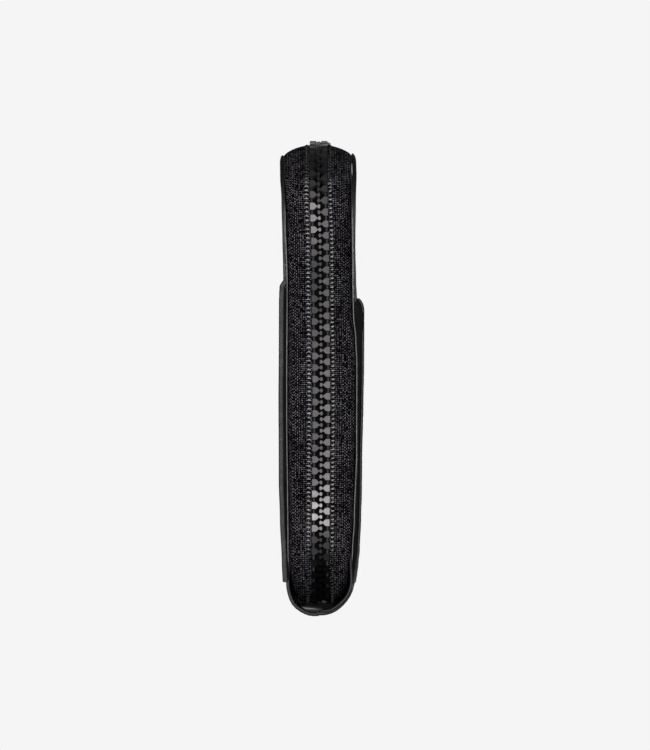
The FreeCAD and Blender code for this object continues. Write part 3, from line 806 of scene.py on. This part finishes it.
def tape_profile(side, length):
    """Points (x, height out of the chain line, distance across the tape) of the tape's outer face.

    It is flat beside the teeth, domed over to the wall of its cover, and then runs down inside the welt.
    """
    _, z, out = zip_at(length)
    shoulder = z - TAPE_DROP * math.sin(out)
    edge = side * TAPE_EDGE + chain_x(length)
    wall = side * (INSIDE[side](min(max(shoulder, WALL_LOW), WALL_HIGH)) + 0.1)
    below = max(0.0, WALL_LOW - shoulder)
    if side > 0:
        wall -= 0.13 * below
        wall -= 0.45 * smoothstep(WALL_LOW, 15, shoulder) * (1 - smoothstep(19.3, 20.6, shoulder))
    else:
        wall -= 0.16 * below
    flat = side * TAPE_FLAT
    reach = abs(wall - edge - flat)
    crest = smoothstep(TOP - 14, TOP - 3, z)
    roof = (0.35 if side < 0 else 0.5) * crest
    shallow = 1 - (0.29 if side < 0 else 0.37) * crest
    points = [(edge, -0.05), (edge + flat * 0.5, 0.0)]
    steps = 18
    for k in range(steps + 1):
        angle = math.pi / 2 * k / steps
        share = math.sin(angle)
        fall = shallow * ((1 - roof) * (1 - math.cos(angle)) + roof * share)
        points.append((edge + flat + side * reach * share, -TAPE_DROP * fall))
    points += [(wall, -TAPE_DROP - leg) for leg in (1.5, 3.0, 4.6)]
    across = [0.0]
    for (x0, v0), (x1, v1) in zip(points, points[1:]):
        across.append(across[-1] + math.hypot(x1 - x0, v1 - v0))
    return [(x, v, u) for (x, v), u in zip(points, across)]


# the height of the spine's inner face at a distance from the middle plane
HOLLOW = {
    -1: curve_through([(0, 1.5), (3, 1.6), (5.6, 2.4), (8.1, 4.0), (10.2, 7.0), (11.0, 12.0)]),
    1: curve_through([(0, 2.0), (2.5, 2.1), (5.05, 3.7), (7.8, 6.4), (9.5, 12.0)]),
}


def turned_under(ring, side, far):
    """The end of the tape, turned down onto the spine's inner face to be sewn."""
    inward = -0.6 if far else 0.6
    floor = HOLLOW[side]
    return [Vector((p.x * 1.03, p.y + inward, min(p.z, floor(min(abs(p.x), 11.0)) - 0.3))) for p in ring]


def tape(cover):
    """The woven zip tape, domed from the chain down to where it is sewn in behind the welt."""
    side = COVERS[cover]
    loops, uvs = [], []
    for length in stations(1.6, 0.9):
        points = tape_profile(side, length)
        outer, inner = [], []
        for index, (x, v, u) in enumerate(points):
            x0, v0, _ = points[max(index - 1, 0)]
            x1, v1, _ = points[min(index + 1, len(points) - 1)]
            slope = Vector((x1 - x0, v1 - v0)).normalized()
            normal = Vector((slope.y, -slope.x)) * (-side)
            soft = 0.16 * noise.noise(Vector((u * 0.12, length * 0.07, side * 3.0)))
            soft *= smoothstep(1.5, 5.0, u)
            outer.append((on_zip(length, x + normal.x * soft, v + normal.y * soft), u))
            x -= normal.x * (TAPE_THICK - soft)
            v -= normal.y * (TAPE_THICK - soft)
            inner.append((on_zip(length, x, v), u))
        ring = outer + inner[::-1]
        loops.append([point for point, _ in ring])
        uvs += [(u, length) for _, u in ring]
    ring_size = len(loops[0])
    uvs = [(u, -3.0) for u, _ in uvs[:ring_size]] + uvs + [(u, ZIP_LENGTH + 3.0) for u, _ in uvs[-ring_size:]]
    loops = [turned_under(loops[0], side, False), *loops, turned_under(loops[-1], side, True)]
    piece = make_piece(f"{cover}_tape_cloth", *loft(loops), TAPE, uvs=uvs)
    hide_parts(f"{cover}_tape")
    return follow(piece, cover, zip_bend(cover))


def zip_bend(cover):
    """TAPE_BEND for the back, and its mirror image for the front."""
    return tuple(Vector((point.x * COVERS[cover], point.y, point.z)) for point in TAPE_BEND)


def cord(cover):
    """The cord woven into the tape's edge, seen as a lump between one tooth and the next."""
    side = COVERS[cover]
    path = []
    for length in stations(0.96, 0.6):
        lump = 0.10 * math.sin(2 * math.pi * length / (TOOTH_PITCH / 2))
        path.append(on_zip(length, side * TAPE_EDGE + chain_x(length), -0.1 + lump))
    piece = make_piece(f"{cover}_edge_cord", *tube(path, CORD_RADIUS, 8), SEWING)
    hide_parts(f"{cover}_tape_cord")
    return follow(piece, cover, zip_bend(cover))


def rounded_block(corners, low, high, rounding):
    """A closed block over a flat outline (x, s), from low to high, its top edge rounded over."""
    centre = Vector((sum(p[0] for p in corners), sum(p[1] for p in corners))) / len(corners)
    reach = max((Vector(p) - centre).length for p in corners)
    rings = []
    for drawn_in, height in ((0.0, low), (0.0, high - rounding), (0.29, high - rounding * 0.29), (1.0, high)):
        shrink = 1 - abs(rounding) * drawn_in / reach
        rings.append([(*(centre + (Vector(p) - centre) * shrink), height) for p in corners])
    return loft(rings)


def rectangle(left, right, low, high):
    return [(left, low), (right, low), (right, high), (left, high)]


def rounded_outline(corners, radius, steps=3):
    """A flat outline with its corners rounded."""
    found = []
    count = len(corners)
    for index in range(count):
        corner = Vector(corners[index])
        before = (Vector(corners[index - 1]) - corner)
        after = (Vector(corners[(index + 1) % count]) - corner)
        cut = min(radius, before.length * 0.45, after.length * 0.45)
        a = corner + before.normalized() * cut
        b = corner + after.normalized() * cut
        for k in range(steps + 1):
            t = k / steps
            point = a * (1 - t) ** 2 + corner * (2 * t * (1 - t)) + b * t ** 2
            found.append((point.x, point.y))
    return found


def tooth_parts():
    """The closed blocks of one tooth, as (x, s, height) points: x from the chain plane, s along it."""
    top = TOOTH_PROUD
    body = [
        (TOOTH_OUTER, -1.14), (TOOTH_OUTER, 1.14), (1.62, 1.12), (0.85, 0.38), (0.85, -0.38), (1.62, -1.12),
    ]
    neck = [(1.0, -0.33), (1.0, 0.33), (0.1, 0.26), (0.1, -0.26)]
    head = [
        (0.26, -0.66), (0.44, -0.32), (0.44, 0.32), (0.26, 0.66), (-0.28, 0.66), (-0.5, 0.32), (-0.5, -0.32),
        (-0.28, -0.66),
    ]
    return [
        rounded_block(rounded_outline(body, 0.16), -1.5, top, 0.12),
        rounded_block(rounded_outline(neck, 0.1, 2), -1.0, top - 0.42, 0.1),
        rounded_block(rounded_outline(head, 0.25), -1.2, top - 0.2, 0.2),
    ]


# painted light and shade on the teeth, by height: pale where the front light catches them and at the top-lit
# crest, dark where the chain turns in at the bottom and away over the top
TEETH_LIGHT_AND_SHADE = {
    -1: curve_through(
        [(8, 0.0), (17, 0.0), (20, 0.02), (22, 0.06), (28, 0.12), (31, 0.88), (38, 0.76), (46, 0.25),
         (56, 0.2), (96, 0.18), (104, 0.1), (118, 0.1), (124, 0.2), (129, 0.45), (136, 0.5), (140, 0.15),
         (145, 0.05),
         (151, 0.02), (155.5, 0.05), (157.2, 0.4)]
    ),
    1: curve_through(
        [(8, 0.0), (17, 0.0), (20, 0.02), (26, 0.1), (28, 0.16), (31, 0.64), (40, 0.55), (50, 0.32),
         (60, 0.3), (88, 0.24), (104, 0.17), (120, 0.17), (132, 0.21), (138, 0.12), (142, 0.06), (150, 0.02),
         (155.5, 0.05), (157.2, 0.4)]
    ),
}


def teeth(cover, first, last):
    """One row of moulded teeth, and the web of plastic that joins them behind the cord."""
    side = COVERS[cover]
    parts = tooth_parts()
    gathered = Gathering()
    length = first + (TOOTH_PITCH / 2 if side > 0 else 0)
    while length < last:
        z = zip_at(length)[1]
        # the tone is painted light and shade by height, with a little random change from tooth to tooth
        tone = TEETH_LIGHT_AND_SHADE[side](z) * random.uniform(0.85, 1.1)
        shift = chain_x(length)
        for vertices, faces in parts:
            placed = [on_zip(length + s, side * x + shift, height) for x, s, height in vertices]
            gathered.add(placed, faces, tone)
        length += TOOTH_PITCH
    web = []
    for length in stations(1.92, 0.96, 1.9, last):
        shift = chain_x(length)
        outline = rounded_outline(rectangle(0.05, 2.7, -1.5, -1.05), 0.15, 2)
        web.append([on_zip(length, side * x + shift, height) for x, height in outline])
    # the web takes the darkest tone: painted shade in the recess behind the cord
    gathered.add(*loft(web), 0.0)
    piece = gathered.piece(f"{cover}_teeth_row", PLASTIC, 12)
    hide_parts(f"{cover}_teeth")
    return follow(piece, cover, zip_bend(cover))


def edge_stitches(cover):
    """The row of small arched threads woven along the tape beside the teeth."""
    side = COVERS[cover]
    gathered = Gathering()
    pitch = TOOTH_PITCH / STITCHES_PER_TOOTH
    length = 1.0
    while length < ZIP_LENGTH - 1.0:
        z = zip_at(length)[1]
        # painted shade: the stitches darken where the zip turns in at the bottom and over the top
        tone = random.uniform(0.6, 1.0) * (0.05 + 0.95 * smoothstep(19, 26, z))
        tone *= 1 - 0.93 * smoothstep(143, 147, z)
        crest = smoothstep(TOP - 14, TOP - 3, z)
        path = []
        skew = random.uniform(0.05, 0.3)
        for k in range(7):
            t = k / 6
            reach = (1.25 if side < 0 else 1.0) * t
            x = side * (3.42 + reach + random.uniform(-0.02, 0.02)) + chain_x(length)
            arch = math.sin(math.pi * t)
            rise = -0.08 + 0.42 * arch - (0.25 + 0.35 * t) * crest
            path.append(on_zip(length + skew * (t - 0.5) - 0.22 * arch * side, x, rise))
        thick = random.uniform(0.22, 0.28)
        shape = tube(path, lambda share, r=thick: r * (0.55 + 0.45 * math.sin(math.pi * share)), 6)
        gathered.add(*shape, tone)
        length += pitch
    piece = gathered.piece(f"{cover}_tape_edge_stitches", RIB_THREAD)
    return follow(piece, cover, zip_bend(cover))


# ---- sewing on the leather


STITCH = 2.6
STITCH_GAP = 0.75
THREAD = 0.21
THREAD_LIFT = 0.1


def sewn_line(gathered, points, outward):
    """Stitches along a path of points, bedded in a face that looks outward."""
    lengths = [0.0]
    for a, b in zip(points, points[1:]):
        lengths.append(lengths[-1] + (b - a).length)

    def at(distance):
        index = next(k for k in range(len(points) - 1) if distance <= lengths[k + 1])
        share = (distance - lengths[index]) / (lengths[index + 1] - lengths[index])
        return points[index].lerp(points[index + 1], share)

    start = STITCH_GAP
    while start + STITCH < lengths[-1]:
        thread = []
        for k in range(7):
            rise = THREAD_LIFT * math.sin(math.pi * k / 6) - THREAD - 0.06
            thread.append(at(start + STITCH * k / 6) + outward * rise)
        shape = tube(thread, lambda share: THREAD * (0.55 + 0.45 * math.sin(math.pi * share) ** 0.5), 6)
        gathered.add(*shape, random.uniform(0.5, 1.0))
        start += STITCH + STITCH_GAP


def panel_sewing(cover):
    """The lines of stitching round the panel's arch, round its slip pocket and along the pocket's hem."""
    side = COVERS[cover]
    outward = Vector((side, 0, 0))
    gathered = Gathering()
    mouth = MOUTHS[cover]
    face = POCKET_FACE[side]
    inset = INSET + SEAM_IN
    half = HALF - inset
    low = 14.5 if side < 0 else 15.5

    def on_pocket(y, z):
        return Vector((side * face(z), MIDDLE + y, z))

    arch = []
    for length in stations(2.0, 1.0, END_TURN, ZIP_LENGTH - END_TURN):
        point = on_zip(length, 0.0, -inset)
        if point.z >= mouth + 1.5:
            point.x = side * OUTSIDE[side](point.z)
            arch.append(point)
    sewn_line(gathered, arch, outward)

    around = []
    z = mouth - 3.2
    while z > low:
        around.append(on_pocket(-half, z))
        z -= 2.0
    steps = int(2 * half / 2.5)
    around += [on_pocket(2 * half * k / steps - half, low) for k in range(steps + 1)]
    z = low + 2.0
    while z < mouth - 3.2:
        around.append(on_pocket(half, z))
        z += 2.0
    sewn_line(gathered, around, outward)

    sunk = Vector((0.12 if side > 0 else 0.0, 0, 0))
    hem = [on_pocket(2 * half * k / 36 - half, mouth - 3.0) - sunk for k in range(37)]
    sewn_line(gathered, hem, outward)
    piece = gathered.piece(f"{cover}_panel_sewing", SEWING)
    return follow(piece, cover)


# ---- slider, puller and stops


# the straight chain line of the far side, where the slider runs
FAR_SIDE = MIDDLE + HALF


def slab(outline, low, high, rounding):
    """A closed plate over an outline of (x, z) points, between two heights out of the far chain line."""
    vertices, faces = rounded_block(outline, low, high, rounding)
    return [Vector((x, FAR_SIDE + height, z)) for x, z, height in vertices], faces


def end_patches():
    """The cloth patches that close the tape's two ends under the first and last teeth, near-black as painted
    shade in the hollow there.
    """
    for name, end in ENDS.items():
        y = MIDDLE + end * (HALF - BEND * (1 - math.cos(BEND_TURN)))
        rings = []
        for share in (0.0, 0.1, 0.35, 0.65, 0.9, 1.0):
            outer = y + end * 0.2 * math.sin(math.pi * share)
            high = 5.4 - 0.5 * abs(2 * share - 1)
            corners = [(outer, 1.5), (outer, high), (y - end * 0.5, high), (y - end * 0.5, 1.5)]
            rings.append([Vector((8.6 * share - 4.6, *corner)) for corner in corners])
        piece = make_piece(f"zip_end_patch_{name}", *loft(rings), RAW_EDGE_SHADE_DARK, 50)
        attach(piece, "spine")


def slider():
    """Two plates joined by a post, with lips that turn in over the teeth, and a rim round the top plate."""
    low, high = box_mm("slider_body")
    gathered = Gathering()
    plan = rounded_outline([
        (-3.2, low.z), (3.2, low.z), (high.x, low.z + 2.6), (high.x - 0.5, high.z - 2.0), (2.6, high.z),
        (-2.6, high.z), (low.x + 0.5, high.z - 2.0), (low.x, low.z + 2.6),
    ], 1.6, 4)
    top = high.y - FAR_SIDE
    gathered.add(*slab(plan, 2.0, top, 0.45))
    gathered.add(*slab(plan, -2.4, low.y - FAR_SIDE, -0.35))
    for side in (-1, 1):
        lip = rounded_outline([
            (side * 3.72, low.z + 2.2), (side * 4.7, low.z + 2.8), (side * 4.3, high.z - 2.0),
            (side * 3.72, high.z - 1.0),
        ], 0.4, 2)
        gathered.add(*slab(lip, 0.55, 2.2, 0.1))
        gathered.add(*slab(lip, -2.6, -1.25, 0.1))
    post = [(-1.2, low.z + 0.4), (1.2, low.z + 0.4), (0.7, low.z + 3.5), (-0.7, low.z + 3.5)]
    gathered.add(*slab(rounded_outline(post, 0.5), -2.5, 2.1, 0.05))
    middle = 30.5
    rim = [Vector((x * 0.86, FAR_SIDE + top - 0.02, (z - middle) * 0.9 + middle)) for x, z in plan + plan[:2]]
    gathered.add(*tube(rim, 0.16, 6))
    piece = gathered.piece("slider_shell", METAL)
    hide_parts("slider_body")
    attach(piece, "slider")


def slider_bridge():
    """The arch over the slider's top plate that the puller hangs from."""
    low, high = box_mm("slider_bridge")
    base = low.y - 0.2
    rise = high.y - 0.55
    path = [
        (base, low.z + 0.55), (base + 1.2, low.z + 0.6), (rise - 0.4, low.z + 0.95), (rise, low.z + 1.9),
        (rise, low.z + 3.2), (rise, high.z - 3.2), (rise, high.z - 1.9), (rise - 0.4, high.z - 0.95),
        (base + 1.2, high.z - 0.6), (base, high.z - 0.55),
    ]
    section = rounded_outline(rectangle(-0.95, 0.95, -0.5, 0.5), 0.3)
    rings = []
    for index, (y, z) in enumerate(path):
        y0, z0 = path[max(index - 1, 0)]
        y1, z1 = path[min(index + 1, len(path) - 1)]
        ahead = Vector((0, y1 - y0, z1 - z0)).normalized()
        up = Vector((0, ahead.z, -ahead.y))
        rings.append([Vector((x, y, z)) + up * out for x, out in section])
    piece = make_piece("slider_bridge_arch", *loft(rings), METAL)
    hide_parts("slider_bridge")
    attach(piece, "slider")


def puller():
    """A flat tab with a rounded eye, hung from the bridge."""
    low, high = box_mm("puller")
    gathered = Gathering()
    middle = (low.y + high.y) / 2
    pivot = high.z - 0.6
    half = high.x - 0.05
    arm = half - 0.62
    eye = [(0.0, 0.0), (arm - 0.5, 0.0), (arm, 0.6), (arm, 3.5), (arm, 7.6)]
    for side in (-1, 1):
        gathered.add(*tube([Vector((x * side, middle, pivot - drop)) for x, drop in eye], 0.55, 10))
    plan = rounded_outline([
        (-half, pivot - 7.3), (half, pivot - 7.3), (half, low.z + 2.6), (half - 1.9, low.z),
        (1.9 - half, low.z), (-half, low.z + 2.6),
    ], 1.3, 4)
    gathered.add(*slab(plan, middle - FAR_SIDE - 0.55, middle - FAR_SIDE + 0.55, 0.22))
    ridge = [Vector((x * 0.62, middle + 0.52, (z - 16.5) * 0.74 + 16.2)) for x, z in plan + plan[:2]]
    gathered.add(*tube(ridge, 0.17, 6))
    piece = gathered.piece("puller_tab", METAL)
    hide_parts("puller")
    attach(piece, "puller")


def stops():
    """The block at the top of each row's far end, and the one that the two rows start from."""
    for cover, side in COVERS.items():
        low, high = box_mm(f"{cover}_top_stop")
        near, far = sorted((abs(low.x), abs(high.x)))
        plan = rounded_outline(rectangle(side * (near - 0.5), side * (far - 0.2), low.z, high.z), 0.4)
        gathered = Gathering()
        gathered.add(*slab(plan, low.y - FAR_SIDE, high.y - FAR_SIDE, 0.3), 0.3)
        piece = gathered.piece(f"{cover}_zip_stop", PLASTIC)
        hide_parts(f"{cover}_top_stop")
        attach(piece, BODIES[cover])
    start = 1.6
    vertices, faces = rounded_block(rounded_outline(rectangle(-2.1, 2.1, -1.0, 1.0), 0.4), -1.0, 0.9, 0.3)
    gathered = Gathering()
    gathered.add([on_zip(start + s, x + chain_x(start), height) for x, s, height in vertices], faces, 0.15)
    piece = gathered.piece("zip_start_block", PLASTIC)
    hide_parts("zip_bottom_stop")
    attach(piece, "spine")


# ---- build


# the last teeth stand inside the parked slider
SLIDER_COVERS = 4.6
teeth_end = ZIP_LENGTH - END_TURN - (box_mm("slider_body")[0].z + SLIDER_COVERS - BEND_START)
for cover in COVERS:
    panel(cover)
    pocket_sheet(cover)
    pocket_gussets(cover)
    edge_bead(cover)
    inner_sheet(cover, "stiffener", "board", BOARD, 0.05, 0.9, 13.0, 16.0, TOP - 13.0)
    inner_sheet(cover, "lining_sheet", "lining", LINING, -0.65, 0.45, 7.0, 15.0, TOP - 7.0)
    tape(cover)
    cord(cover)
    teeth(cover, FIRST_TOOTH, teeth_end)
    edge_stitches(cover)
    panel_sewing(cover)
front_wrap()
spine_facing()
spine_lining()
end_tabs()
end_patches()
slider()
slider_bridge()
puller()
stops()

# ---- ground, light and camera


def by_camera_ray(tree, seen, lit):
    """One strength for the camera to see, and another that lights the scene."""
    path = add(tree, "ShaderNodeLightPath")
    return ramp(tree, path.outputs["Is Camera Ray"], 0.0, 1.0, lit, seen)


def ground(height, reach, seen, lit):
    """A plain pale sheet, low enough for the opened pouch to hang above it."""
    material = bpy.data.materials.new("pale ground")
    material.use_nodes = True
    tree = material.node_tree
    tree.nodes.clear()
    glow = add(tree, "ShaderNodeEmission")
    link(tree, by_camera_ray(tree, seen, lit), glow.inputs["Strength"])
    link(tree, glow.outputs[0], add(tree, "ShaderNodeOutputMaterial").inputs["Surface"])
    mesh = bpy.data.meshes.new("ground")
    corners = [(-reach, -reach), (reach, -reach), (reach, reach), (-reach, reach)]
    mesh.from_pydata([(x, y, height) for x, y in corners], [], [(0, 1, 2, 3)])
    mesh.materials.append(material)
    put_in_scene("ground", mesh)


def area_light(name, place, width, height, watts):
    """A soft rectangular light that faces the middle of the pouch."""
    light = bpy.data.lights.new(name, "AREA")
    light.shape = "RECTANGLE"
    light.size = width
    light.size_y = height
    light.energy = watts
    lamp = put_in_scene(name, light)
    lamp.location = place
    away = Vector((0, 0, TOP / 2 * MM)) - Vector(place)
    lamp.rotation_euler = away.to_track_quat("-Z", "Y").to_euler()


PALE = 0.913
ground(-0.2, 6, PALE, 0.12)

scene = bpy.context.scene
world = bpy.data.worlds.new("studio")
world.use_nodes = True
background = world.node_tree.nodes["Background"]
link(world.node_tree, by_camera_ray(world.node_tree, PALE, 0.07), background.inputs["Strength"])
background.inputs["Color"].default_value = (1, 1, 1, 1)
scene.world = world

# the two front lights show the pouch from the zip's side; the three fills are for its other sides
area_light("front key", (-0.35, -1.3, 0.25), 0.7, 0.8, 15)
area_light("front fill", (0.45, -1.2, 0.1), 0.4, 0.7, 6)
area_light("back cover fill", (1.3, 0.9, 0.0), 0.8, 0.25, 11)
area_light("front cover fill", (-1.3, 0.9, 0.0), 0.6, 0.25, 5)
area_light("far side fill", (0.2, 1.5, 0.0), 0.7, 0.25, 8)

# square on to the zip, from far enough away for almost no perspective
VIEW_HEIGHT = 0.25
VIEW_DISTANCE = 6.0
AIM_X = 0.00105
AIM_Z = 0.08045
camera_data = bpy.data.cameras.new("camera")
camera_data.sensor_fit = "VERTICAL"
camera_data.sensor_height = 24.0
camera_data.lens = camera_data.sensor_height * VIEW_DISTANCE / VIEW_HEIGHT
camera_data.clip_end = 50
camera = put_in_scene("camera", camera_data)
near_face = (MIDDLE - HALF) * MM
camera.location = (AIM_X, near_face - VIEW_DISTANCE, AIM_Z)
camera.rotation_euler = (math.radians(90), 0, 0)
scene.camera = camera
scene.view_settings.view_transform = "Standard"
